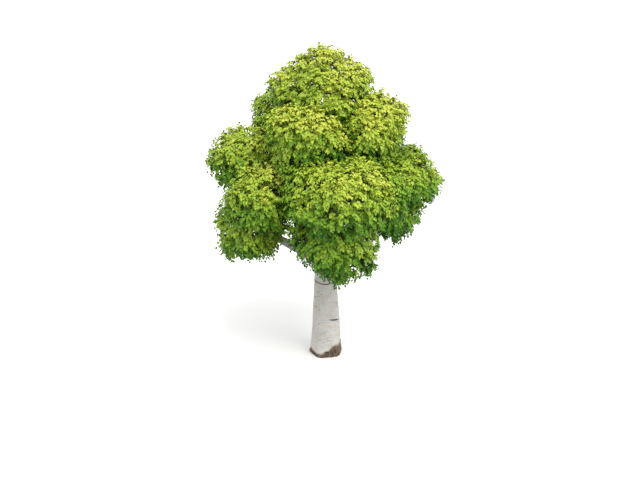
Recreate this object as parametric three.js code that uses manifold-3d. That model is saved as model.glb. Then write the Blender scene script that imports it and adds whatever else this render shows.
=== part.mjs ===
// Birch tree: a stocky, open-grown birch in full summer leaf, as a three.js scene graph.
//
// Units are millimetres and +Z is up. The origin is the middle of the flat cut at ground level,
// +X is the tree's right and -Y is its front. Every sub-part is one closed solid with its own name:
// the trunk, one tapering limb for each main bough, and one uneven solid for each mass of foliage.
// A mass is a cluster of rounded lobes; where two masses meet, the later one is cut round the
// earlier one, and a bough ends where it enters its mass.

import * as THREE from "three";
import { mergeVertices } from "three/addons/utils/BufferGeometryUtils.js";
import Module from "manifold-3d";

const wasm = await Module();
wasm.setup();

// ---------------------------------------------------------------- driving dimensions

const GAP = 1; // clearance between touching solids

const TRUNK = {
  top: 5050, // the stem's tip, just inside the top mass
  tipOffset: { x: -110, y: 60 }, // how far the tip stands from the foot
  sway: 35, // sideways bow of the stem on its way up
  sides: 24,
  steps: 18,
};

// Stem radius at a height, between the roots and the tip.
const TRUNK_RADII = [
  { height: 0, radius: 335 },
  { height: 650, radius: 312 },
  { height: 1300, radius: 278 },
  { height: 1750, radius: 252 },
  { height: 2300, radius: 205 },
  { height: 3200, radius: 140 },
  { height: 4200, radius: 95 },
  { height: TRUNK.top, radius: 60 },
];

const ROOT_FLARE = {
  ridges: 5, // buttresses where the main roots leave
  swell: 62, // how far a buttress stands out at the ground
  height: 330, // how fast the buttresses die away upwards
  turn: 0.5, // where the first one points, in radians
};

const LEAF_LIT = { color: 0x9aa843, roughness: 0.8, metalness: 0 };
const LEAF_DEEP = { color: 0x5d8e2e, roughness: 0.85, metalness: 0 };
const WHITE_BARK = { color: 0xc6c4bb, roughness: 0.75, metalness: 0 };
const BOUGH_BARK = { color: 0xa8a49b, roughness: 0.8, metalness: 0 };

// Each mass stands at a bearing round the trunk (0 is +X, 90 is +Y), with its lobes given by their
// reach from the trunk's axis, the height of their middle, and their half width, depth and height.
// Tips are where a lobe's longest shoots stand out of it: bearing and rise in degrees, and how far.
// The order is the order of cutting: the first mass stays whole.
const MASSES = [
  {
    name: "crown_front",
    leaf: LEAF_LIT,
    cut: "fine",
    lobes: [
      {
        bearing: -81, reach: 1480, height: 4030, size: [960, 860, 820],
        tips: [[0, 0, 190], [180, -4, 210], [158, 38, 300], [25, 52, 200], [50, -10, 260]],
      },
      {
        bearing: -81, reach: 1350, height: 3200, size: [780, 760, 740],
        tips: [[0, -38, 330], [0, -85, 250], [178, 12, 350], [184, -12, 160], [0, 35, 120]],
      },
    ],
  },
  {
    name: "crown_left_low",
    leaf: LEAF_LIT,
    cut: "fine",
    lobes: [
      {
        bearing: -148, reach: 1650, height: 3900, size: [630, 700, 720],
        tips: [[10, 46, 270], [180, -12, 230], [0, -30, 230], [270, 10, 120]],
      },
      {
        bearing: -160, reach: 1740, height: 3250, size: [600, 720, 620],
        tips: [[180, -46, 250], [0, -45, 240], [180, 25, 200], [0, 0, 300], [270, -20, 90]],
      },
    ],
  },
  {
    name: "crown_right",
    leaf: LEAF_DEEP,
    cut: "fine",
    lobes: [
      {
        bearing: 0, reach: 1640, height: 4050, size: [640, 780, 700],
        tips: [[0, 0, 200], [0, 70, 180], [180, 28, 300], [255, 5, 380]],
      },
      {
        bearing: 4, reach: 1510, height: 3360, size: [530, 700, 550],
        tips: [[0, -88, 240], [0, 30, 120], [235, 0, 330], [90, -20, 120]],
      },
    ],
  },
  {
    name: "crown_top",
    leaf: LEAF_LIT,
    cut: "fine",
    lobes: [
      {
        bearing: 125, reach: 110, height: 5860, size: [920, 960, 840],
        tips: [[0, 87, 270], [0, 34, 230], [180, 15, 310], [180, 48, 150], [90, 20, 120]],
      },
    ],
  },
  {
    name: "crown_shoulder_left",
    leaf: LEAF_LIT,
    cut: "fine",
    lobes: [
      {
        bearing: -120, reach: 860, height: 5230, size: [760, 690, 700],
        tips: [[180, 20, 150], [195, -62, 370], [0, -20, 220], [270, 20, 100]],
      },
    ],
  },
  {
    name: "crown_shoulder_right",
    leaf: LEAF_LIT,
    cut: "fine",
    lobes: [
      {
        bearing: -20, reach: 970, height: 5240, size: [640, 760, 760],
        tips: [[0, 32, 220], [30, 70, 110], [0, -60, 120], [270, 0, 130], [180, -35, 200]],
      },
    ],
  },
  {
    name: "crown_front_right",
    leaf: LEAF_DEEP,
    cut: "plain",
    lobes: [
      {
        bearing: -36, reach: 1270, height: 3960, size: [640, 640, 740],
        tips: [[320, 10, 140], [330, -60, 180], [300, 50, 120]],
      },
    ],
  },
  {
    name: "crown_left_high",
    leaf: LEAF_LIT,
    cut: "fine",
    lobes: [
      {
        bearing: 172, reach: 1720, height: 4500, size: [730, 800, 630],
        tips: [[180, -8, 190], [150, 62, 170], [10, 60, 240], [180, -45, 190], [90, 10, 120]],
      },
    ],
  },
  {
    name: "crown_back_left_high",
    leaf: LEAF_DEEP,
    cut: "plain",
    lobes: [
      {
        bearing: 134, reach: 1340, height: 5020, size: [700, 800, 740],
        tips: [[180, 48, 230], [90, 10, 200], [120, -60, 220]],
      },
    ],
  },
  {
    name: "crown_back_right_high",
    leaf: LEAF_DEEP,
    cut: "plain",
    lobes: [
      {
        bearing: 50, reach: 1380, height: 4880, size: [840, 840, 800],
        tips: [[30, 10, 160], [90, 35, 160], [0, -60, 220]],
      },
    ],
  },
  {
    name: "crown_back",
    leaf: LEAF_DEEP,
    cut: "plain",
    lobes: [
      {
        bearing: 92, reach: 1580, height: 4200, size: [1000, 860, 840],
        tips: [[90, 5, 170], [170, 10, 160], [10, -10, 140], [90, 60, 120]],
      },
      {
        bearing: 86, reach: 1440, height: 3380, size: [820, 740, 660],
        tips: [[90, -40, 160], [180, -50, 150], [0, -75, 170]],
      },
    ],
  },
  {
    name: "crown_back_left_low",
    leaf: LEAF_DEEP,
    cut: "plain",
    lobes: [
      {
        bearing: 144, reach: 1600, height: 3640, size: [800, 820, 840],
        tips: [[150, -10, 170], [120, -60, 160], [170, 50, 120]],
      },
    ],
  },
  {
    name: "crown_back_right_low",
    leaf: LEAF_DEEP,
    cut: "plain",
    lobes: [
      {
        bearing: 41, reach: 1640, height: 3600, size: [800, 820, 840],
        tips: [[30, 0, 170], [60, -55, 150], [20, 55, 120]],
      },
    ],
  },
];

// How finely a lobe is cut: each icosahedron face is split into 16 in front, and into 9 elsewhere.
const LOBE_DETAIL = { fine: 3, plain: 2 };

// How uneven a mass is: waves round each lobe as shares of its radius, and how narrow its tips are.
const UNEVEN = { broad: 0.06, fine: 0.04, flatUnder: 0.06, tipNarrowness: 9 };

// Each bough leaves the trunk's axis at one height and climbs to a point inside its mass.
// It thins from its foot to its end, and lift is how steeply it starts: 0 is straight to its end.
const BOUGHS = [
  { name: "bough_left_low", from: 2040, to: "crown_left_low", foot: 118, end: 76, lift: 150 },
  { name: "bough_front", from: 2050, to: "crown_front", foot: 105, end: 66, lift: 220 },
  { name: "bough_right", from: 2260, to: "crown_right", foot: 108, end: 62, lift: 120 },
  { name: "bough_front_right", from: 2660, to: "crown_front_right", foot: 84, end: 50, lift: 160 },
  { name: "bough_left_high", from: 2560, to: "crown_left_high", foot: 92, end: 52, lift: 150 },
  { name: "bough_back", from: 2480, to: "crown_back", foot: 98, end: 60, lift: 200 },
  { name: "bough_back_left_low", from: 2140, to: "crown_back_left_low", foot: 92, end: 54, lift: 160 },
  { name: "bough_back_right_low", from: 1840, to: "crown_back_right_low", foot: 96, end: 54, lift: 180 },
  { name: "bough_shoulder_left", from: 3680, to: "crown_shoulder_left", foot: 66, end: 44, lift: 120 },
  { name: "bough_shoulder_right", from: 3420, to: "crown_shoulder_right", foot: 74, end: 44, lift: 150 },
  { name: "bough_back_left_high", from: 3180, to: "crown_back_left_high", foot: 76, end: 44, lift: 150 },
  { name: "bough_back_right_high", from: 3020, to: "crown_back_right_high", foot: 80, end: 46, lift: 150 },
];
const BOUGH_SIDES = 8;
const BOUGH_STEPS = 5;
const BOUGH_COLLAR = { swell: 0.35, share: 0.16 }; // the thickening where a bough joins the trunk
const BOUGH_END = { inwards: 0.86, drop: 0.2 }; // short of its lobe's middle, and below it

// ---------------------------------------------------------------- solids

// A closed manifold-3d solid of a geometry, with the vertices that share a place merged.
function solidOf(geometry) {
  const bare = geometry.index ? geometry.toNonIndexed() : geometry;
  const onlyPlaces = new THREE.BufferGeometry();
  onlyPlaces.setAttribute("position", bare.getAttribute("position"));
  const merged = mergeVertices(onlyPlaces, 1e-3);
  const mesh = new wasm.Mesh({
    numProp: 3,
    vertProperties: merged.attributes.position.array,
    triVerts: new Uint32Array(merged.index.array),
  });
  return new wasm.Manifold(mesh);
}

// The largest body of a cut solid, so that a sliver left by a cut is dropped.
function mainBody(solid) {
  const bodies = solid.decompose();
  return bodies.reduce((most, next) => (next.volume() > most.volume() ? next : most));
}

function geometryOf(solid) {
  const mesh = solid.getMesh();
  const places = new Float32Array(mesh.numVert * 3);
  for (let i = 0; i < mesh.numVert; i++) {
    const first = i * mesh.numProp;
    places.set(mesh.vertProperties.subarray(first, first + 3), i * 3);
  }
  const geometry = new THREE.BufferGeometry();
  geometry.setAttribute("position", new THREE.BufferAttribute(places, 3));
  geometry.setIndex(new THREE.BufferAttribute(mesh.triVerts, 1));
  geometry.computeVertexNormals();
  return geometry;
}

// ---------------------------------------------------------------- trunk and boughs

const smoothstep = (share) => share * share * (3 - 2 * share);

function trunkRadius(height) {
  const above = TRUNK_RADII.findIndex((station) => station.height >= height);
  if (above <= 0) return TRUNK_RADII[0].radius;
  const [low, high] = [TRUNK_RADII[above - 1], TRUNK_RADII[above]];
  const share = (height - low.height) / (high.height - low.height);
  return THREE.MathUtils.lerp(low.radius, high.radius, share);
}

// The trunk's axis: upright at the foot, bowed a little, ending beside the plumb line.
function trunkAxis(height) {
  const share = THREE.MathUtils.clamp(height / TRUNK.top, 0, 1);
  const drift = smoothstep(share);
  const bow = TRUNK.sway * Math.sin(2 * Math.PI * share) * share;
  return new THREE.Vector3(TRUNK.tipOffset.x * drift + bow, TRUNK.tipOffset.y * drift - bow, height);
}

// How far the buttresses stand out at an angle round the trunk and a height above the ground.
function flareAt(angle, height) {
  const ridge = 0.5 + 0.5 * Math.cos(ROOT_FLARE.ridges * (angle - ROOT_FLARE.turn));
  const uneven = 0.8 + 0.2 * Math.sin(2 * angle + 1);
  const fade = Math.exp(-height / ROOT_FLARE.height);
  return ROOT_FLARE.swell * ridge ** 1.5 * uneven * fade;
}

// Bends a unit cylinder into a limb: place gives the point for each share, angle and rim distance.
function limbSolid(sides, steps, place) {
  const geometry = new THREE.CylinderGeometry(1, 1, 1, sides, steps);
  const unit = geometry.attributes.position;
  for (let i = 0; i < unit.count; i++) {
    const share = unit.getY(i) + 0.5;
    const angle = Math.atan2(-unit.getZ(i), unit.getX(i));
    const rim = Math.min(1, Math.hypot(unit.getX(i), unit.getZ(i)));
    const point = place(share, angle, rim);
    unit.setXYZ(i, point.x, point.y, point.z);
  }
  return solidOf(geometry);
}

function trunkSolid(grow = 0) {
  return limbSolid(TRUNK.sides, TRUNK.steps, (share, angle, rim) => {
    const height = TRUNK.top * share ** 1.15; // rings closer together near the roots
    const radius = rim * (trunkRadius(height) + flareAt(angle, height) + grow);
    const axis = trunkAxis(height);
    return axis.add(new THREE.Vector3(Math.cos(angle), Math.sin(angle), 0).multiplyScalar(radius));
  });
}

function boughSolid(bough, grow = 0) {
  const foot = trunkAxis(bough.from);
  const end = entryPoint(bough.to);
  const middle = foot.clone().lerp(end, 0.5);
  middle.z += bough.lift;
  const path = new THREE.QuadraticBezierCurve3(foot, middle, end);
  return limbSolid(BOUGH_SIDES, BOUGH_STEPS, (share, angle, rim) => {
    const along = path.getTangentAt(share);
    const side = new THREE.Vector3(0, 0, 1).cross(along).normalize();
    const above = along.clone().cross(side);
    const collar = 1 + BOUGH_COLLAR.swell * Math.exp(-share / BOUGH_COLLAR.share);
    const radius = rim * (THREE.MathUtils.lerp(bough.foot, bough.end, share) * collar + grow);
    return path
      .getPointAt(share)
      .addScaledVector(side, Math.cos(angle) * radius)
      .addScaledVector(above, Math.sin(angle) * radius);
  });
}

// ---------------------------------------------------------------- foliage

const radians = THREE.MathUtils.degToRad;

function lobeCentre(lobe) {
  const bearing = radians(lobe.bearing);
  return new THREE.Vector3(
    lobe.reach * Math.cos(bearing),
    lobe.reach * Math.sin(bearing),
    lobe.height,
  );
}

// The point inside a mass that its bough makes for: near the middle of its lowest lobe.
function entryPoint(massName) {
  const lobes = MASSES.find((mass) => mass.name === massName).lobes;
  const lowest = lobes.at(-1);
  const point = lobeCentre(lowest);
  point.x *= BOUGH_END.inwards;
  point.y *= BOUGH_END.inwards;
  point.z -= BOUGH_END.drop * lowest.size[2];
  return point;
}

// A lobe's relative radius in a direction: broad and fine waves, set apart by the lobe's own place.
function unevenness(way, lobe) {
  const seed = lobe.bearing * 0.7 + lobe.height * 0.013;
  const broad =
    Math.sin(2.6 * way.x + 1.9 * way.z + seed) * Math.cos(2.3 * way.y - 1.4 * way.x + 2 * seed);
  const fine =
    Math.sin(6.1 * way.x - 3.7 * way.y + 3 * seed) * Math.sin(5.3 * way.z + 4.1 * way.y + seed);
  const under = Math.max(0, -way.z) ** 2;
  return 1 + UNEVEN.broad * broad + UNEVEN.fine * fine - UNEVEN.flatUnder * under;
}

// How far the tips push a lobe's surface out in a direction, in millimetres.
function tipReach(way, lobe) {
  let most = 0;
  for (const [bearing, rise, reach] of lobe.tips) {
    const flat = Math.cos(radians(rise));
    const towards = new THREE.Vector3(
      flat * Math.cos(radians(bearing)),
      flat * Math.sin(radians(bearing)),
      Math.sin(radians(rise)),
    );
    const near = Math.exp(UNEVEN.tipNarrowness * (way.dot(towards) - 1));
    most = Math.max(most, reach * near);
  }
  return most;
}

function lobeSolid(lobe, detail, grow) {
  const geometry = new THREE.IcosahedronGeometry(1, detail);
  const unit = geometry.attributes.position;
  const centre = lobeCentre(lobe);
  const [wide, deep, tall] = lobe.size;
  const way = new THREE.Vector3();
  for (let i = 0; i < unit.count; i++) {
    way.fromBufferAttribute(unit, i).normalize();
    const uneven = unevenness(way, lobe);
    const beyond = tipReach(way, lobe) + grow;
    unit.setXYZ(
      i,
      centre.x + way.x * (wide * uneven + beyond),
      centre.y + way.y * (deep * uneven + beyond),
      centre.z + way.z * (tall * uneven + beyond),
    );
  }
  return solidOf(geometry);
}

function massSolid(mass, grow = 0) {
  const lobes = mass.lobes.map((lobe) => lobeSolid(lobe, LOBE_DETAIL[mass.cut], grow));
  return lobes.reduce((joined, lobe) => joined.add(lobe));
}

// ---------------------------------------------------------------- assembly

const tree = new THREE.Group();

function addPart(name, solid, look) {
  const mesh = new THREE.Mesh(geometryOf(solid), new THREE.MeshStandardMaterial(look));
  mesh.name = name;
  tree.add(mesh);
}

// The trunk stays whole up to its tip, which ends where it enters the top mass.
const topMass = MASSES.find((mass) => mass.name === "crown_top");
addPart("trunk", mainBody(trunkSolid().subtract(massSolid(topMass, GAP))), WHITE_BARK);
const trunkCutter = trunkSolid(GAP);

// Each bough runs from the trunk's surface to the surface of its own mass.
for (const bough of BOUGHS) {
  const mass = MASSES.find((each) => each.name === bough.to);
  const limb = boughSolid(bough).subtract(trunkCutter).subtract(massSolid(mass, GAP));
  addPart(bough.name, mainBody(limb), BOUGH_BARK);
}

// Each mass is cut round the trunk, the boughs that pass it, and the masses before it.
let taken = BOUGHS.reduce((joined, bough) => {
  const ownMass = MASSES.find((mass) => mass.name === bough.to);
  return joined.add(boughSolid(bough, GAP).subtract(massSolid(ownMass)));
}, trunkCutter.subtract(massSolid(topMass)));
for (const mass of MASSES) {
  addPart(mass.name, mainBody(massSolid(mass).subtract(taken)), mass.leaf);
  taken = taken.add(massSolid(mass, GAP));
}

export default tree;
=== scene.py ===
# Birch tree: a stocky, open-grown birch in full summer leaf, rooted in level ground.
#
# Everything is in metres, with +Z up, the tree's front towards -Y and its right towards +X. The
# origin is the middle of the flat cut under the trunk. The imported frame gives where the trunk, the
# boughs and the foliage masses are, and each is rebuilt here round those places: first the trunk and
# the boughs in their bark, then the branches, twigs and leaves that grow on from them.

import math

import bmesh
import bpy
import numpy as np
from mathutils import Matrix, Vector, noise
from mathutils.bvhtree import BVHTree
from mathutils.kdtree import KDTree


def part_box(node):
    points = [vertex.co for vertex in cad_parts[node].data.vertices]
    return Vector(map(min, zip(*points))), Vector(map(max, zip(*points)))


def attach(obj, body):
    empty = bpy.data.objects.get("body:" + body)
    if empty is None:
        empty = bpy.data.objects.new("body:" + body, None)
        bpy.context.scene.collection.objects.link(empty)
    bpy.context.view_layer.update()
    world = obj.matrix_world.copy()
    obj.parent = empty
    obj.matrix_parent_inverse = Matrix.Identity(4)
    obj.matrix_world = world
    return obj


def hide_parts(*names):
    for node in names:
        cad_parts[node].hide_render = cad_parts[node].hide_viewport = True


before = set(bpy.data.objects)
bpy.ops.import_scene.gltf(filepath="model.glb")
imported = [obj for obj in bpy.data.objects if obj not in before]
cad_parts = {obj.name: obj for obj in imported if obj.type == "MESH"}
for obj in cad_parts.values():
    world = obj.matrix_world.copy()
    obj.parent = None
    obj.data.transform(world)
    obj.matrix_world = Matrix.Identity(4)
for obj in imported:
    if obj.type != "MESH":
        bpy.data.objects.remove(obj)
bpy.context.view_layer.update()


# ---------------------------------------------------------------- camera
# The tree is seen from in front and well above, as from an upstairs window across a lawn, so that
# the tops of the foliage masses show as well as the foot of the trunk.

CAMERA_AIM = Vector((-0.14, 0, 2.714))
CAMERA_DISTANCE = 19.5
CAMERA_RISE = math.radians(20)

camera = bpy.data.objects.new("camera", bpy.data.cameras.new("camera"))
camera.data.lens = 50
camera.data.sensor_width = 36
camera.data.clip_end = 400
to_camera = Vector((0, -math.cos(CAMERA_RISE), math.sin(CAMERA_RISE)))
camera.location = CAMERA_AIM + CAMERA_DISTANCE * to_camera
camera.rotation_euler = (math.pi / 2 - CAMERA_RISE, 0, 0)
bpy.context.collection.objects.link(camera)
bpy.context.scene.camera = camera


# ---------------------------------------------------------------- bark
# White birch bark is a thin papery skin, chalky with faint pink and grey-green bands, crossed by
# short dark lenticels. At the foot it breaks up into rugged grey-brown plates. One material serves
# every limb, and reads each limb's own round-and-along place and the marks left on its mesh.


def srgb(red, green, blue):
    """A colour named by its everyday 0-255 values, as the linear values that shaders take."""
    linear = [((c / 255 + 0.055) / 1.055) ** 2.4 if c > 10 else c / 255 / 12.92 for c in (red, green, blue)]
    return (*linear, 1)


def new_material(name):
    material = bpy.data.materials.new(name)
    material.use_nodes = True
    return material, material.node_tree.nodes, material.node_tree.links


def add_node(nodes, kind, settings=(), values=()):
    node = nodes.new(kind)
    for key, value in dict(settings).items():
        setattr(node, key, value)
    for key, value in dict(values).items():
        node.inputs[key].default_value = value
    return node


def bark_material():
    material, nodes, links = new_material("white_birch_bark")
    skin = nodes["Principled BSDF"]
    skin.inputs["Roughness"].default_value = 0.62
    skin.inputs["Specular IOR Level"].default_value = 0.3
    place = add_node(nodes, "ShaderNodeAttribute", {"attribute_name": "limb_place"})
    rough = add_node(nodes, "ShaderNodeAttribute", {"attribute_name": "foot_bark"})
    scar = add_node(nodes, "ShaderNodeAttribute", {"attribute_name": "scar"})

    def banded_noise(stretch, detail, roughness):
        """Noise that is drawn out round the limb, as everything on birch bark is."""
        mapping = add_node(nodes, "ShaderNodeMapping", values={"Scale": stretch})
        field = add_node(
            nodes, "ShaderNodeTexNoise", values={"Scale": 1, "Detail": detail, "Roughness": roughness}
        )
        links.new(place.outputs["Vector"], mapping.inputs["Vector"])
        links.new(mapping.outputs["Vector"], field.inputs["Vector"])
        return field.outputs["Fac"]

    def stepped(value, low, high):
        """0 below low, 1 above high, and a smooth rise between them."""
        step = add_node(nodes, "ShaderNodeMapRange", {"interpolation_type": "SMOOTHSTEP"})
        step.inputs["From Min"].default_value = low
        step.inputs["From Max"].default_value = high
        links.new(value, step.inputs["Value"])
        return step.outputs["Result"]

    def painted(below, colour, share):
        """The colour laid over what is below it, where share is 1."""
        mix = add_node(nodes, "ShaderNodeMix", {"data_type": "RGBA"})
        links.new(share, mix.inputs["Factor"])
        links.new(below, mix.inputs["A"])
        mix.inputs["B"].default_value = colour
        return mix.outputs["Result"]

    def scaled(value, factor):
        node = add_node(nodes, "ShaderNodeMath", {"operation": "MULTIPLY"}, {1: factor})
        links.new(value, node.inputs[0])
        return node.outputs["Value"]

    chalk = add_node(nodes, "ShaderNodeMix", {"data_type": "RGBA"})
    chalk.inputs["A"].default_value = srgb(198, 196, 189)
    chalk.inputs["B"].default_value = srgb(222, 220, 214)
    links.new(banded_noise((5, 5, 9), 3, 0.55), chalk.inputs["Factor"])
    colour = chalk.outputs["Result"]
    pink_bands = stepped(banded_noise((3.2, 3.2, 4.5), 2, 0.5), 0.52, 0.72)
    colour = painted(colour, srgb(208, 195, 184), scaled(pink_bands, 0.75))
    lichen_bands = stepped(banded_noise((4.1, 4.1, 3.3), 3, 0.6), 0.54, 0.7)
    colour = painted(colour, srgb(180, 182, 167), scaled(lichen_bands, 0.6))
    fine_lines = stepped(banded_noise((6, 6, 150), 2, 0.6), 0.5, 0.75)
    colour = painted(colour, srgb(150, 146, 140), scaled(fine_lines, 0.4))
    lenticels = stepped(banded_noise((11, 11, 95), 1, 0.4), 0.68, 0.72)
    colour = painted(colour, srgb(82, 72, 64), scaled(lenticels, 0.85))
    plates = add_node(nodes, "ShaderNodeMix", {"data_type": "RGBA"})
    plates.inputs["A"].default_value = srgb(62, 50, 40)
    plates.inputs["B"].default_value = srgb(126, 108, 88)
    links.new(stepped(banded_noise((26, 26, 8), 4, 0.65), 0.36, 0.64), plates.inputs["Factor"])
    footed = add_node(nodes, "ShaderNodeMix", {"data_type": "RGBA"})
    links.new(rough.outputs["Fac"], footed.inputs["Factor"])
    links.new(colour, footed.inputs["A"])
    links.new(plates.outputs["Result"], footed.inputs["B"])
    colour = painted(footed.outputs["Result"], srgb(54, 48, 44), scar.outputs["Fac"])
    links.new(colour, skin.inputs["Base Color"])

    relief = add_node(nodes, "ShaderNodeMath", {"operation": "SUBTRACT"})
    links.new(banded_noise((9, 9, 60), 4, 0.6), relief.inputs[0])
    links.new(scaled(lenticels, 0.4), relief.inputs[1])
    bump = add_node(nodes, "ShaderNodeBump", values={"Strength": 0.5, "Distance": 0.004})
    links.new(relief.outputs["Value"], bump.inputs["Height"])
    links.new(bump.outputs["Normal"], skin.inputs["Normal"])
    return material


BARK = bark_material()


# ---------------------------------------------------------------- where the limbs run
# The frame's solids give each limb's middle line and thickness: the trunk by feeling outwards from
# its middle at every height, and a bough by cutting its solid across at stations along its length.


def surface_of(cad_node):
    """A CAD node's surface, to feel for distances with."""
    mesh = cad_node.data
    return BVHTree.FromPolygons([v.co[:] for v in mesh.vertices], [f.vertices[:] for f in mesh.polygons])


class Trunk:
    """The stem's middle and radius at any height and angle, felt out from its solid."""

    SIDES = 72
    LEVELS = 60
    EDGE = 0.004  # how far from the flat cut and the tip the first and last levels are
    CROWDING = 1.4  # above 1, the levels stand closer together at the foot
    SMOOTHINGS = 3  # takes the solid's facets out

    def __init__(self, cad_node):
        surface = surface_of(cad_node)
        self.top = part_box(cad_node.name)[1].z
        shares = np.linspace(0, 1, self.LEVELS) ** self.CROWDING
        self.heights = self.EDGE + (self.top - 2 * self.EDGE) * shares
        self.angles = np.linspace(0, 2 * math.pi, self.SIDES, endpoint=False)
        ways = [Vector((math.cos(a), math.sin(a), 0)) for a in self.angles]
        self.middles, self.radii = [], []
        middle = Vector((0, 0, 0))
        for height in self.heights:
            middle.z = height
            for _ in range(2):
                hits = [surface.ray_cast(middle, way)[0] for way in ways]
                middle = sum(hits, Vector()) / len(hits)
            self.middles.append(middle.copy())
            self.radii.append([surface.ray_cast(middle, way)[3] for way in ways])
        self.middles = np.array(self.middles)
        radii = np.array(self.radii)
        for _ in range(self.SMOOTHINGS):
            radii = (np.roll(radii, 1, 1) + 2 * radii + np.roll(radii, -1, 1)) / 4
        self.radii = np.hstack([radii, radii[:, :1]])

    def middle(self, height):
        x = float(np.interp(height, self.heights, self.middles[:, 0]))
        y = float(np.interp(height, self.heights, self.middles[:, 1]))
        return Vector((x, y, height))

    def radius(self, height, angle):
        turn = (angle % (2 * math.pi)) / (2 * math.pi) * self.SIDES
        side = min(int(turn), self.SIDES - 1)
        around = self.radii[:, side] * (1 - turn + side) + self.radii[:, side + 1] * (turn - side)
        return float(np.interp(height, self.heights, around))


class Bough:
    """One bough's middle line from inside the trunk to the point where it enters its mass."""

    STATIONS = 9
    SAFE = (0.16, 0.88)  # the stretch that the cuts at its two ends don't reach
    ROOTED = 0.55  # how far in the limb starts, as a share of the trunk's radius

    def __init__(self, cad_node, trunk):
        mesh = cad_node.data
        points = np.array([v.co for v in mesh.vertices])
        edges = np.array([e.vertices for e in mesh.edges])
        foot_side = np.argsort(np.linalg.norm(points[:, :2], axis=1))
        share = len(points) // 5
        foot = points[foot_side[:share]].mean(0)
        end = points[foot_side[-share:]].mean(0)
        chord = (end - foot) / np.linalg.norm(end - foot)
        along = points @ chord
        low, high = along.min(), along.max()
        self.length = high - low
        shares = np.linspace(*self.SAFE, self.STATIONS)
        middles, radii = [], []
        for station in low + self.length * shares:
            gap = along - station
            a, b = edges[:, 0], edges[:, 1]
            crossing = gap[a] * gap[b] < 0
            a, b = a[crossing], b[crossing]
            part = (gap[a] / (gap[a] - gap[b]))[:, None]
            cut = points[a] * (1 - part) + points[b] * part
            middles.append(cut.mean(0))
            radii.append(np.linalg.norm(cut - cut.mean(0), axis=1).mean())
        self.curve = [np.polyfit(shares, [m[i] for m in middles], 2) for i in range(3)]
        self.thinning = np.polyfit(shares, radii, 1)
        self.start = -self.ROOTED * trunk.radius(foot[2], 0) / self.length

    def middle(self, share):
        return Vector([float(np.polyval(c, share)) for c in self.curve])

    def heading(self, share):
        return Vector([float(np.polyval(np.polyder(c), share)) for c in self.curve]).normalized()

    def radius(self, share):
        return float(np.polyval(self.thinning, max(share, 0)))


trunk = Trunk(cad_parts["trunk"])
bough_names = sorted(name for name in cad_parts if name.startswith("bough_"))
boughs = {name: Bough(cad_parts[name], trunk) for name in bough_names}


# ---------------------------------------------------------------- trunk
# The stem is one stout pole, buttressed where its main roots leave it and cut off flat at the
# ground. Its skin is fissured at the foot, faintly ringed higher up, swollen under every bough, and
# marked by long dark lens-shaped scars and by the dark chevron below each low bough.

TRUNK_SIDES = 240
LUMP_RELIEF = 0.006
RING_RELIEF = 0.0022
PLATE_RELIEF = 0.005
FISSURE_DEPTH = 0.016
RUGGED_THICKNESS = 0.006  # how far the foot's rugged bark stands proud of the white skin
RUGGED_LEAST = 0.075  # how high the rugged bark climbs on the left
RUGGED_RISE = 0.25  # and how much higher on the right
COLLAR_SWELL = 0.045
COLLAR_WIDTH = 0.07
SCARS = 30
BOLDEST_SCAR = (math.radians(-48), 0.89, 0.16, 0.02, -0.2)
SCAR_REACH = 0.1  # no scar's mark goes further up or down than this
FRONT_SEAM = (math.radians(-93), 1.755, 0.4, 0.14)
SEAM_REACH = 0.3
SEAM_THICKNESS = 0.012
BOTTOM_ROWS = [(0, 0), (0, 0.5), (0, 0.97)]  # height and share of the radius, across the flat cut
VISIBLE_ROWS = np.linspace(0.004, 2.3, 200)
HIDDEN_ROWS = np.linspace(2.34, trunk.top, 50)
TIP_ROWS = [(trunk.top + 0.02, 0.7), (trunk.top + 0.03, 0)]

trunk_rows = [
    *BOTTOM_ROWS,
    *((height, 1) for height in VISIBLE_ROWS),
    *((height, 1) for height in HIDDEN_ROWS),
    *TIP_ROWS,
]


def limb_mesh(name, sides, rows, place):
    """A closed skin wrapped round a limb from a flat grid: place gives each point and its bark values."""
    bm = bmesh.new()
    bmesh.ops.create_grid(bm, x_segments=sides, y_segments=rows, size=1)
    limb_place = bm.verts.layers.float_vector.new("limb_place")
    foot_bark = bm.verts.layers.float.new("foot_bark")
    scar = bm.verts.layers.float.new("scar")
    for vert in bm.verts:
        share, angle = (vert.co.y + 1) / 2, math.pi * (vert.co.x + 1)
        vert.co, vert[limb_place], vert[foot_bark], vert[scar] = place(share, angle)
    bmesh.ops.remove_doubles(bm, verts=bm.verts, dist=1e-5)
    bmesh.ops.recalc_face_normals(bm, faces=bm.faces)
    for face in bm.faces:
        face.smooth = True
    mesh = bpy.data.meshes.new(name)
    bm.to_mesh(mesh)
    bm.free()
    piece = bpy.data.objects.new(name, mesh)
    bpy.context.collection.objects.link(piece)
    mesh.materials.append(BARK)
    return piece


def smooth_step(value, low, high):
    share = min(1, max(0, (value - low) / (high - low)))
    return share * share * (3 - 2 * share)


def turn_from(a, b):
    """The signed turn from one bearing to another, the short way round."""
    return (b - a + math.pi) % (2 * math.pi) - math.pi


def foot_height(angle):
    """How high the rugged bark climbs: least on the left, most on the right."""
    to_right = 0.5 + 0.5 * math.cos(angle)
    wave = 0.05 * noise.noise(Vector((2 * math.cos(angle), 2 * math.sin(angle), 4.7)))
    return RUGGED_LEAST + RUGGED_RISE * to_right**1.7 + wave


def trunk_scars(rng):
    """Bearing, height, half width, half height and slope of each long scar; the first is the boldest."""
    scars = [BOLDEST_SCAR]
    for _ in range(SCARS):
        scars.append(
            (
                rng.uniform(0, 2 * math.pi),
                rng.uniform(0.45, 3.6),
                rng.uniform(0.02, 0.075),
                rng.uniform(0.005, 0.011),
                rng.uniform(-0.06, 0.06),
            )
        )
    return scars


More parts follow.
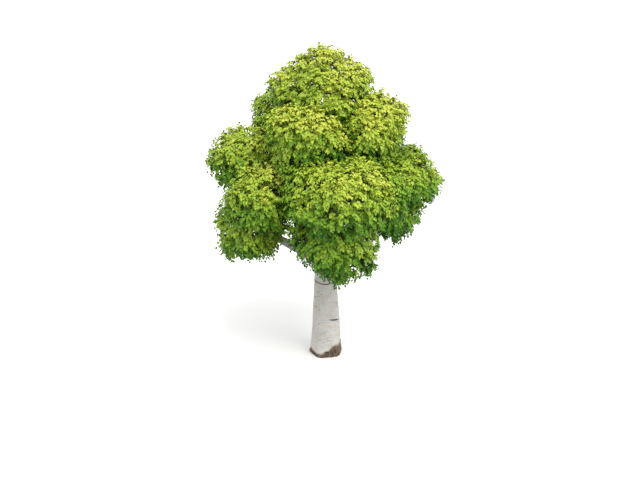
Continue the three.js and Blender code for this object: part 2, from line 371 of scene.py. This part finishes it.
scars = trunk_scars(np.random.default_rng(11))
chevrons = [FRONT_SEAM]  # the bearing, lowest height, half width and slope of each
for bough in boughs.values():
    foot = bough.middle(0)
    centre = trunk.middle(foot.z)
    bearing = math.atan2(foot.y - centre.y, foot.x - centre.x)
    thick = bough.radius(0)
    chevrons.append((bearing, foot.z - 2.1 * thick, 2.2 * thick, 0.4))


def scar_at(angle, height, radius):
    """How dark a scar is here, and how far its lip stands out."""
    dark, lip = 0, 0
    for bearing, level, half_wide, half_tall, slope in scars:
        if abs(height - level) > SCAR_REACH:
            continue
        across = turn_from(bearing, angle) * radius
        out = math.hypot(across / half_wide, (height - level - slope * across) / half_tall)
        dark = max(dark, 1 - smooth_step(out, 0.7, 1.15))
        lip = max(lip, math.exp(-4 * (out - 1.3) ** 2))
    return dark, 0.004 * lip - 0.005 * dark


def chevron_at(angle, height, radius):
    """The dark V under each bough and round the front, where the bark of two limbs meets."""
    dark, lip = 0, 0
    for bearing, level, reach, slope in chevrons:
        across = abs(turn_from(bearing, angle)) * radius
        if across > reach or abs(height - level) > SEAM_REACH:
            continue
        out = abs(height - level - slope * across) / SEAM_THICKNESS
        fade = 1 - smooth_step(across, 0.75 * reach, reach)
        dark = max(dark, fade * (1 - smooth_step(out, 0.6, 1.6)))
        lip = max(lip, fade * math.exp(-0.12 * (out - 3) ** 2))
    return 0.9 * dark, 0.007 * lip - 0.008 * dark


def collar_swell(point):
    """How far the trunk swells out to meet the boughs."""
    most = 0
    for bough in boughs.values():
        offset = point - bough.middle(0)
        if abs(offset.z) > 0.5:
            continue
        along = bough.heading(0)
        gap = (offset - along * offset.dot(along)).length - bough.radius(0)
        outwards = smooth_step(offset.dot(along), -0.4, 0)
        most = max(most, outwards * math.exp(-max(0, gap) / COLLAR_WIDTH))
    return COLLAR_SWELL * most


def trunk_point(share, angle):
    height, inset = trunk_rows[round(share * (len(trunk_rows) - 1))]
    felt_height = min(max(height, trunk.EDGE), trunk.top - trunk.EDGE)
    radius = trunk.radius(felt_height, angle)
    middle = trunk.middle(felt_height)
    way = Vector((math.cos(angle), math.sin(angle), 0))
    here = way * radius + Vector((0, 0, height))
    edge = height - foot_height(angle) + 0.09 * noise.noise(here * 7)
    rugged = 1 - smooth_step(edge, -0.03, 0.05)
    fissures = 1 - abs(noise.noise(Vector((here.x * 17, here.y * 17, here.z * 5))))
    plates = noise.noise(Vector((here.x * 30, here.y * 30, here.z * 14)))
    lumps = noise.noise(here * 2.3) + 0.5 * noise.noise(here * 5)
    rings = noise.noise(Vector((here.x * 3, here.y * 3, here.z * 32)))
    dark, lip = scar_at(angle, height, radius)
    cut, fold = chevron_at(angle, height, radius)
    relief = LUMP_RELIEF * lumps + RING_RELIEF * rings * (1 - rugged) + (lip + fold) * (1 - rugged)
    fissure = FISSURE_DEPTH * max(0, fissures - 0.75) * 4
    relief -= rugged * (fissure - PLATE_RELIEF * plates - RUGGED_THICKNESS)
    point = middle + way * radius
    point += way * (relief + collar_swell(point))
    if inset < 1:
        point = middle + (point - middle) * inset
    point.z = max(0, height)
    return point, here, rugged, max(dark, cut)


trunk_piece = limb_mesh("trunk_bark", TRUNK_SIDES, len(trunk_rows) - 1, trunk_point)
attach(trunk_piece, "root")
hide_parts("trunk")


# ---------------------------------------------------------------- boughs
# Each bough is a single tapering limb in the same white skin, flared at its foot where it grows out
# of the trunk's collar, a little crooked, and faintly ringed.

BOUGH_SIDES = 40
BOUGH_ROWS = 64
BOUGH_FLARE = 0.45
FLARE_LENGTH = 0.09
BOUGH_CROOK = 0.012
BOUGH_LUMPS = 0.004
BOUGH_RINGS = 0.0015
BOUGH_OVERLAP = 0.04  # how far past its solid a bough runs on, inside the first branch
BOUGH_CAP = 0.02  # the share of the rows that close each end


def bough_piece(name, bough):
    last = 1 + BOUGH_OVERLAP / bough.length
    own_place = 10 * len(name) + bough.length  # keeps the bark of two boughs from matching

    def bough_point(share, angle):
        clear = share * (1 + 2 * BOUGH_CAP) - BOUGH_CAP
        along = bough.start + (last - bough.start) * min(1, max(0, clear))
        inset = 0 if share in (0, 1) else 1
        middle, heading = bough.middle(along), bough.heading(along)
        side = heading.cross(Vector((0, 0, 1))).normalized()
        above = side.cross(heading)
        way = math.cos(angle) * side + math.sin(angle) * above
        distance = along * bough.length
        flare = BOUGH_FLARE * math.exp(-max(0, distance) / FLARE_LENGTH)
        radius = bough.radius(along) * (1 + flare)
        here = Vector((math.cos(angle) * radius, math.sin(angle) * radius, distance + own_place))
        lumps = noise.noise(here * 4) + 0.5 * noise.noise(here * 11)
        rings = noise.noise(Vector((here.x * 4, here.y * 4, here.z * 40)))
        relief = BOUGH_LUMPS * lumps + BOUGH_RINGS * rings
        crook = BOUGH_CROOK * noise.noise(Vector((distance * 2, own_place, 0)))
        point = middle + Vector((crook, 0, 0)) + way * (radius + relief) * inset
        return point, here, 0, 0

    piece = limb_mesh(name + "_bark", BOUGH_SIDES, BOUGH_ROWS, bough_point)
    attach(piece, "root")
    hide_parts(name)


for name, bough in boughs.items():
    bough_piece(name, bough)


# ---------------------------------------------------------------- how a mass of foliage grows
# Inside each mass the bough goes on and forks again and again towards the light: every fork heads
# for the part of the mass that no branch fills yet, and is as thick as the twigs beyond it need.

GROWTH_STEP = 0.11
GROWTH_ROUNDS = 70
WANDER = 0.16  # how far a step strays from its way, as a share of its length
CLEARED = 0.12  # a target this near to a branch has been reached
TARGETS_PER_M3 = 230
TARGET_DEPTH = 0.11  # how deep inside the mass every target is
TWIG_RADIUS = 0.0035


def unit(vectors):
    return vectors / np.maximum(np.linalg.norm(vectors, axis=-1, keepdims=True), 1e-9)


class Mass:
    """One mass of foliage: its solid's surface, and samples of the space inside it."""

    def __init__(self, name):
        self.name = name
        self.surface = surface_of(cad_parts[name])
        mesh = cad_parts[name].data
        self.corners = np.array([[mesh.vertices[i].co for i in f.vertices[:3]] for f in mesh.polygons])
        sides = np.cross(self.corners[:, 1] - self.corners[:, 0], self.corners[:, 2] - self.corners[:, 0])
        areas = np.linalg.norm(sides, axis=1) / 2
        self.area = areas.sum()
        self.shares = areas / self.area
        self.normals = unit(sides)
        self.volume = abs((self.corners[:, 0] * sides).sum()) / 6

    def depth(self, point):
        """How deep inside the mass a point is; negative outside."""
        nearest, normal, _, distance = self.surface.find_nearest(point)
        return distance if (nearest - Vector(point)).dot(normal) > 0 else -distance

    def targets(self, rng):
        """Random places well inside the mass, for the branches to reach."""
        count = int(TARGETS_PER_M3 * self.volume)
        low, high = self.corners.min((0, 1)), self.corners.max((0, 1))
        found = []
        while len(found) < count:
            point = rng.uniform(low, high)
            if self.depth(point) > TARGET_DEPTH:
                found.append(point)
        return np.array(found)


def grow_branches(start, heading, targets, rng):
    """Places and parents of a branching skeleton that reaches every target."""
    places = [start, start + heading * GROWTH_STEP]
    parents = [-1, 0]
    gaps = np.linalg.norm(targets[:, None] - np.array(places), axis=2)
    nearest, gap = gaps.argmin(1), gaps.min(1)
    open_targets = gap > CLEARED
    for _ in range(GROWTH_ROUNDS):
        if not open_targets.any():
            break
        wanted = nearest[open_targets]
        pull = unit(targets[open_targets] - np.array(places)[wanted])
        growing, which = np.unique(wanted, return_inverse=True)
        way = np.zeros((len(growing), 3))
        np.add.at(way, which, pull)
        way = unit(unit(way) + rng.normal(0, WANDER, way.shape))
        grown = np.array(places)[growing] + GROWTH_STEP * way
        first = len(places)
        places.extend(grown)
        parents.extend(int(g) for g in growing)
        gaps = np.linalg.norm(targets[:, None] - grown, axis=2)
        closer = gaps.min(1) < gap
        nearest[closer] = first + gaps.argmin(1)[closer]
        gap = np.minimum(gap, gaps.min(1))
        open_targets = gap > CLEARED
    return np.array(places), np.array(parents)


def eased(places, parents):
    """The skeleton with its zigzags taken out, its first two places kept."""
    counts = np.bincount(parents[1:], minlength=len(places))[:, None]
    for _ in range(2):
        children = np.zeros_like(places)
        np.add.at(children, parents[1:], places[1:])
        ends = counts[:, 0] == 0
        pulled = (places + places[np.maximum(parents, 0)] + children / np.maximum(counts, 1)) / 3
        pulled[ends] = places[ends]
        pulled[:2] = places[:2]
        places = pulled
    return places


def thickness(parents, root_radius):
    """Each place's radius: a branch carries the twigs beyond it, and ends as one."""
    carried = np.zeros(len(parents))
    counts = np.bincount(parents[1:], minlength=len(parents))
    carried[counts == 0] = 1
    for i in range(len(parents) - 1, 0, -1):
        carried[parents[i]] += carried[i]
    power = math.log(root_radius / TWIG_RADIUS) / math.log(carried[0])
    return TWIG_RADIUS * carried**power


# ---------------------------------------------------------------- branches
# Young birch wood is smooth: pale grey while it is thick, red-brown where it thins into twigs. The
# branches of a mass are joined into one piece, each a round tapering tube from fork to tip.


def plain_material(name, colour, roughness, specular):
    material, nodes, _ = new_material(name)
    skin = nodes["Principled BSDF"]
    skin.inputs["Base Color"].default_value = colour
    skin.inputs["Roughness"].default_value = roughness
    skin.inputs["Specular IOR Level"].default_value = specular
    return material


LIMB_WOOD = plain_material("young_limb_bark", srgb(176, 168, 156), 0.65, 0.3)
TWIG_WOOD = plain_material("twig_bark", srgb(104, 80, 62), 0.6, 0.3)
LIMB_STOUT = 0.02
LIMB_LEAST = 0.009  # a branch thinner than this is a twig, and has its colour


def joined_piece(name, points, faces, material, mass_name):
    """One piece from arrays of points and of three-cornered faces."""
    mesh = bpy.data.meshes.new(name)
    mesh.vertices.add(len(points))
    mesh.vertices.foreach_set("co", np.ascontiguousarray(points, np.float32).ravel())
    mesh.loops.add(3 * len(faces))
    mesh.loops.foreach_set("vertex_index", np.ascontiguousarray(faces, np.int32).ravel())
    mesh.polygons.add(len(faces))
    mesh.polygons.foreach_set("loop_start", np.arange(0, 3 * len(faces), 3, dtype=np.int32))
    mesh.update(calc_edges=True)
    mesh.materials.append(material)
    piece = bpy.data.objects.new(name, mesh)
    bpy.context.collection.objects.link(piece)
    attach(piece, "root")
    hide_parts(mass_name)


def tube(places, radii, sides):
    """Points and faces of a round tube along some places, closed to a point at its far end."""
    headings = unit(np.gradient(places, axis=0))
    across = unit(np.cross(headings, (0.31, 0.17, 0.93)))
    beyond = np.cross(headings, across)
    turns = np.linspace(0, 2 * math.pi, sides, endpoint=False)
    rims = np.cos(turns)[None, :, None] * across[:, None] + np.sin(turns)[None, :, None] * beyond[:, None]
    rings = places[:-1, None] + radii[:-1, None, None] * rims[:-1]
    points = np.vstack([rings.reshape(-1, 3), places[-1:]])
    faces = []
    last = len(places) - 2
    for ring in range(last):
        for side in range(sides):
            a, b = ring * sides + side, ring * sides + (side + 1) % sides
            faces += [(a, b, b + sides), (a, b + sides, a + sides)]
    tip = len(points) - 1
    faces += [(last * sides + s, last * sides + (s + 1) % sides, tip) for s in range(sides)]
    return points, np.array(faces)


def chains_of(parents, radii):
    """The skeleton as runs of places from a fork to a tip, each following its thickest child."""
    children = [[] for _ in parents]
    for child, parent in enumerate(parents[1:], 1):
        children[parent].append(child)
    starts, chains = [(0, None)], []
    while starts:
        place, fork = starts.pop()
        chain = [] if fork is None else [fork]
        while True:
            chain.append(place)
            onward = sorted(children[place], key=lambda c: -radii[c])
            starts += [(other, place) for other in onward[1:]]
            if not onward:
                break
            place = onward[0]
        chains.append(chain)
    return chains


def sides_for(radius):
    if radius > LIMB_STOUT:
        return 10
    return 6 if radius > LIMB_LEAST else 4


def branch_pieces(mass_name, places, parents, radii):
    """The mass's thick limbs as one piece, and its twiggy branches as another."""
    parts = {"limbs": ([], []), "twiggery": ([], [])}
    for chain in chains_of(parents, radii):
        chain_radii = radii[chain].copy()
        if len(chain) > 1:
            chain_radii[0] = min(chain_radii[0], chain_radii[1] * 1.15)
        thickest = chain_radii.max()
        kind = "limbs" if thickest > LIMB_LEAST else "twiggery"
        points, faces = tube(places[chain], chain_radii, sides_for(thickest))
        all_points, all_faces = parts[kind]
        all_faces.append(faces + sum(len(p) for p in all_points))
        all_points.append(points)
    for kind, (all_points, all_faces) in parts.items():
        if not all_points:
            continue
        wood = LIMB_WOOD if kind == "limbs" else TWIG_WOOD
        points, faces = np.vstack(all_points), np.vstack(all_faces)
        joined_piece(f"{mass_name}_{kind}", points, faces, wood, mass_name)


# ---------------------------------------------------------------- leaves
# A birch leaf is a small toothed rhomb on a thin stalk, folded a little along its midrib. A dozen
# hang along each drooping shoot, and the shoots crowd the outer half metre of a mass, where the
# light is. Sprays high up are yellow-green and lower ones deep green, and the greens also carry
# painted light and shade: lighter on sprays facing the sky, painted shade facing down and in creases.

SPRAYS = 15800
SPRAY_LEAVES = 12
SPRAY_SPACING = 0.068
TRIES = 20  # for each shoot, before its place is given up
OUTERMOST = -0.025  # the outermost shoots end this deep, so a little outside the mass's solid
OUTER_BAND = 0.27  # and the rest of the outer ones within this much further in
OUTER_CROWDING = 1.8  # above 1, more of those stand near the surface
INNER_BAND = (0.25, 0.5)
INNER_SHARE = 0.14  # of the shoots, how many stand deep inside their mass
HANGING = 0.09  # how far the longest shoots hang below a mass
CREASE_REACH = 0.5  # from a mass's surface to the next mass, across a crease between them
CREASE_LEAST = 0.65  # how many shoots are left at the bottom of a crease
SHOOT_LENGTH = 0.24
SHOOT_ARCH = 0.3  # how high a shoot arches, as a share of its span
SHOOT_RADII = np.array([0.0028, 0.0018, 0.001])
STALK_LENGTH = 0.012
LEAF_LENGTH = 0.07
LEAF_OUTLINE = np.array([(0, 0, 0), (0.4, 0.4, 0.05), (0, 1, -0.1), (-0.4, 0.4, 0.05), (0, 0.45, -0.04)])
LEAF_FACES = np.array([(0, 1, 4), (1, 2, 4), (2, 3, 4), (3, 0, 4)])
# Six leaf greens. They are the leaves' own colours and also their lit and shaded copies: tone_of paints
# light and shade with them.
LEAF_TONES = [
    ("leaf_lime", srgb(182, 193, 68)),
    ("leaf_yellow_green", srgb(160, 182, 55)),
    ("leaf_olive_green", srgb(137, 168, 45)),
    ("leaf_mid_green", srgb(114, 155, 39)),
    ("leaf_green", srgb(90, 139, 30)),
    ("leaf_deep_green", srgb(62, 110, 19)),
]
LEAF_MATERIALS = [plain_material(name, colour, 0.55, 0.25) for name, colour in LEAF_TONES]
GREENER = {  # how much greener or, below 0, yellower a mass is than the rest
    "crown_front": 0.08,
    "crown_left_high": 0.04,
    "crown_left_low": -0.01,
    "crown_shoulder_left": -0.05,
    "crown_shoulder_right": -0.05,
    "crown_right": 0.15,
    "crown_front_right": 0.24,
    "crown_back_left_high": 0.12,
    "crown_back_right_high": 0.08,
    "crown_back": 0.1,
    "crown_back_right_low": 0.14,
}
UP = np.array([0, 0, 1])
NEIGHBOURS = [(x, y, z) for x in (-1, 0, 1) for y in (-1, 0, 1) for z in (-1, 0, 1)]


def open_share(other_surfaces, point, normal):
    """1 where the mass meets the air, and less the nearer another mass lies against it."""
    start = Vector(point) + Vector(normal) * 0.005
    share = 1
    for surface in other_surfaces:
        gap = surface.ray_cast(start, Vector(normal), CREASE_REACH)[3]
        if gap is not None:
            share = min(share, CREASE_LEAST + gap)
    return share


def surface_place(mass, rng):
    """A random place on the mass's surface, and the way out from there."""
    face = rng.choice(len(mass.shares), p=mass.shares)
    a, b = rng.random(2)
    if a + b > 1:
        a, b = 1 - a, 1 - b
    corner = mass.corners[face]
    place = corner[0] + a * (corner[1] - corner[0]) + b * (corner[2] - corner[0])
    return place, mass.normals[face]


def spray_tips(mass, other_surfaces, count, rng):
    """Where the shoots end, the way out from each, and how deep in a crease it is."""
    tips, ways, creases = [], [], []
    taken = {}
    for _ in range(TRIES * count):
        if len(tips) == count:
            break
        on_surface, way = surface_place(mass, rng)
        inner = rng.random() < INNER_SHARE
        if inner:
            depth = rng.uniform(*INNER_BAND)
        else:
            depth = OUTERMOST + OUTER_BAND * rng.random() ** OUTER_CROWDING
        point = on_surface - way * depth
        if mass.depth(point) < min(0.8 * depth, depth) - 0.01:
            continue  # too near another part of the surface
        openness = open_share(other_surfaces, on_surface, way)
        if rng.random() > openness:
            continue
        if depth < 0.1 and way[2] < 0:
            point[2] += HANGING * way[2] * rng.random()
        cell = tuple(np.floor(point / SPRAY_SPACING).astype(int))
        nearby = [other for step in NEIGHBOURS for other in taken.get(tuple(np.add(cell, step)), ())]
        if nearby and np.linalg.norm(np.array(nearby) - point, axis=1).min() < SPRAY_SPACING:
            continue
        taken.setdefault(cell, []).append(point)
        tips.append(point)
        ways.append(way)
        creases.append(1 - openness)
    return np.array(tips), np.array(ways), np.array(creases)


def spray_roots(tips, places, radii):
    """Which place on the branches each shoot leaves from: a thin one, about a shoot's length away."""
    tree = KDTree(len(places))
    for i, place in enumerate(places):
        tree.insert(place, i)
    tree.balance()
    roots = []
    for tip in tips:
        near = tree.find_n(tip, 8)
        best = min(near, key=lambda n: abs(n[2] - SHOOT_LENGTH) + 4 * max(0, radii[n[1]] - 0.012))
        roots.append(best[1])
    return np.array(roots)


def tone_of(ways, tips, creases, mass_name, rng):
    """Which leaf colour each spray has, with painted light and shade: lighter facing the sky and the
    key light at the front right, painted shade facing down and in creases, lighter high up.
    """
    right, back, up = ways.T
    # painted light and shade: sprays facing up and towards the key light at the front right get lighter
    # greens, those facing down deeper ones
    light = 0.62 * up + 0.22 * right - 0.1 * back - 0.25 * np.maximum(0, -up)
    shade = 0.44 - 0.44 * light + GREENER.get(mass_name, 0) + rng.normal(0, 0.07, len(ways))
    patch = np.array([noise.noise(Vector(tip) * 1.3) for tip in tips])
    # painted shade in the creases between masses, and lighter high up, deeper low
    shade += 0.12 * patch - 0.045 * (tips[:, 2] - 4.3) + 0.75 * creases
    return np.clip((shade * len(LEAF_TONES)).astype(int), 0, len(LEAF_TONES) - 1)


def shoots_piece(mass_name, roots, bends, tips):
    """A thin three-sided twig along each shoot."""
    middles = (roots + 2 * bends + tips) / 4
    all_points, all_faces = [], []
    for i, (root, middle, tip) in enumerate(zip(roots, middles, tips)):
        points, faces = tube(np.array([root, middle, tip]), SHOOT_RADII, 3)
        all_points.append(points)
        all_faces.append(faces + i * len(points))
    points, faces = np.vstack(all_points), np.vstack(all_faces)
    joined_piece(f"{mass_name}_shoots", points, faces, TWIG_WOOD, mass_name)


def leaf_points(roots, bends, tips, ways, rng):
    """The points of every leaf: alternate along the outer part of each shoot, the last at its tip."""
    along = np.linspace(0.3, 1, SPRAY_LEAVES)[None, :, None]
    start, bend, end, way = roots[:, None], bends[:, None], tips[:, None], ways[:, None]
    nodes = (1 - along) ** 2 * start + 2 * along * (1 - along) * bend + along**2 * end
    headings = unit(2 * (1 - along) * (bend - start) + 2 * along * (end - bend))
    sideways = unit(np.cross(headings, way + 0.4 * UP))
    turn = np.where(np.arange(SPRAY_LEAVES) % 2 == 0, 1.0, -1.0)[None, :, None]
    turn[:, -1] *= 0.2
    spread = rng.normal(0, 0.28, nodes.shape)
    lengthwise = unit(0.55 * headings + 0.8 * turn * sideways - 0.45 * UP + 0.15 * way + spread)
    facing = 0.9 * way + 0.5 * UP + rng.normal(0, 0.26, nodes.shape)
    facing = unit(facing - (facing * lengthwise).sum(2, keepdims=True) * lengthwise)
    crosswise = np.cross(lengthwise, facing)
    each_leaf = (len(tips), SPRAY_LEAVES, 1, 1)
    size = LEAF_LENGTH * rng.uniform(0.72, 1.18, each_leaf)
    width = rng.uniform(0.88, 1.12, each_leaf)
    fold = rng.uniform(0.4, 2.2, each_leaf)
    outline = LEAF_OUTLINE[None, None]
    points = (nodes + STALK_LENGTH * lengthwise)[:, :, None]
    points = points + size * width * outline[..., 0:1] * crosswise[:, :, None]
    points = points + size * outline[..., 1:2] * lengthwise[:, :, None]
    return points + size * fold * outline[..., 2:3] * facing[:, :, None]


def leafy_shoots(mass, places, radii, other_surfaces, count, rng):
    """All the shoots and leaves of a mass: the shoots as one piece, and the leaves one of each colour."""
    tips, ways, creases = spray_tips(mass, other_surfaces, count, rng)
    roots = places[spray_roots(tips, places, radii)]
    span = np.linalg.norm(tips - roots, axis=1, keepdims=True)
    bends = (tips + roots) / 2 + SHOOT_ARCH * UP * span + rng.normal(0, 0.02, tips.shape)
    shoots_piece(mass.name, roots, bends, tips)
    points = leaf_points(roots, bends, tips, ways, rng)
    tones = tone_of(ways, tips, creases, mass.name, rng)
    for tone, material in enumerate(LEAF_MATERIALS):
        chosen = points[tones == tone].reshape(-1, 3)
        if len(chosen) == 0:
            continue
        first = np.arange(0, len(chosen), len(LEAF_OUTLINE))[:, None, None]
        faces = (first + LEAF_FACES[None]).reshape(-1, 3)
        joined_piece(f"{mass.name}_{LEAF_TONES[tone][0]}", chosen, faces, material, mass.name)


mass_names = sorted(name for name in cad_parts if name.startswith("crown_"))
masses = {name: Mass(name) for name in mass_names}
whole_area = sum(mass.area for mass in masses.values())
for seed, (name, mass) in enumerate(masses.items()):
    rng = np.random.default_rng(1000 + seed)
    bough = boughs.get(name.replace("crown_", "bough_"))
    if bough:
        start, heading, radius = bough.middle(1), bough.heading(1), bough.radius(1)
    else:  # the top mass grows on from the trunk's own tip
        start = trunk.middle(trunk.top)
        heading = (start - trunk.middle(trunk.top - 0.3)).normalized()
        radius = trunk.radius(trunk.top - 0.01, 0)
    places, parents = grow_branches(np.array(start), np.array(heading), mass.targets(rng), rng)
    places = eased(places, parents)
    radii = thickness(parents, radius)
    branch_pieces(name, places, parents, radii)
    others = [other.surface for other in masses.values() if other is not mass]
    leafy_shoots(mass, places, radii, others, int(SPRAYS * mass.area / whole_area), rng)


# ---------------------------------------------------------------- floor and light
# A plain pale floor, which throws no light back up; a high, wide key light from the front right;
# and a soft pale sky that is dimmer towards and below the horizon.

FLOOR_RADIUS = 150

floor_mesh = bpy.data.meshes.new("floor")
bm = bmesh.new()
bmesh.ops.create_circle(bm, cap_ends=True, segments=96, radius=FLOOR_RADIUS)
bm.to_mesh(floor_mesh)
bm.free()
floor = bpy.data.objects.new("floor", floor_mesh)
floor_mesh.materials.append(plain_material("pale_floor", srgb(246, 246, 245), 0.9, 0.1))
floor.visible_diffuse = False
bpy.context.collection.objects.link(floor)

KEY_WAY = Vector((-0.4, 0.5, -1))
KEY_WIDTH = math.radians(40)
key = bpy.data.objects.new("key_light", bpy.data.lights.new("key_light", "SUN"))
key.data.energy = 2.2
key.data.angle = KEY_WIDTH
key.data.color = (1, 0.985, 0.95)
key.rotation_euler = KEY_WAY.to_track_quat("-Z", "Y").to_euler()
bpy.context.collection.objects.link(key)

SKY_TOP = (1.0, 1.0, 1.0, 1)
SKY_BELOW = (0.1, 0.11, 0.09, 1)
world = bpy.data.worlds.new("sky")
world.use_nodes = True
sky_nodes, sky_links = world.node_tree.nodes, world.node_tree.links
way_up = add_node(sky_nodes, "ShaderNodeTexCoord")
rise = add_node(sky_nodes, "ShaderNodeSeparateXYZ")
fade = add_node(sky_nodes, "ShaderNodeMapRange", values={"From Min": -0.6, "From Max": 0.2})
sky = add_node(sky_nodes, "ShaderNodeMix", {"data_type": "RGBA"})
sky.inputs["A"].default_value = SKY_BELOW
sky.inputs["B"].default_value = SKY_TOP
sky_links.new(way_up.outputs["Generated"], rise.inputs["Vector"])
sky_links.new(rise.outputs["Z"], fade.inputs["Value"])
sky_links.new(fade.outputs["Result"], sky.inputs["Factor"])
sky_links.new(sky.outputs["Result"], sky_nodes["Background"].inputs["Color"])
sky_nodes["Background"].inputs["Strength"].default_value = 1.25
bpy.context.scene.world = world
bpy.context.scene.view_settings.view_transform = "Standard"
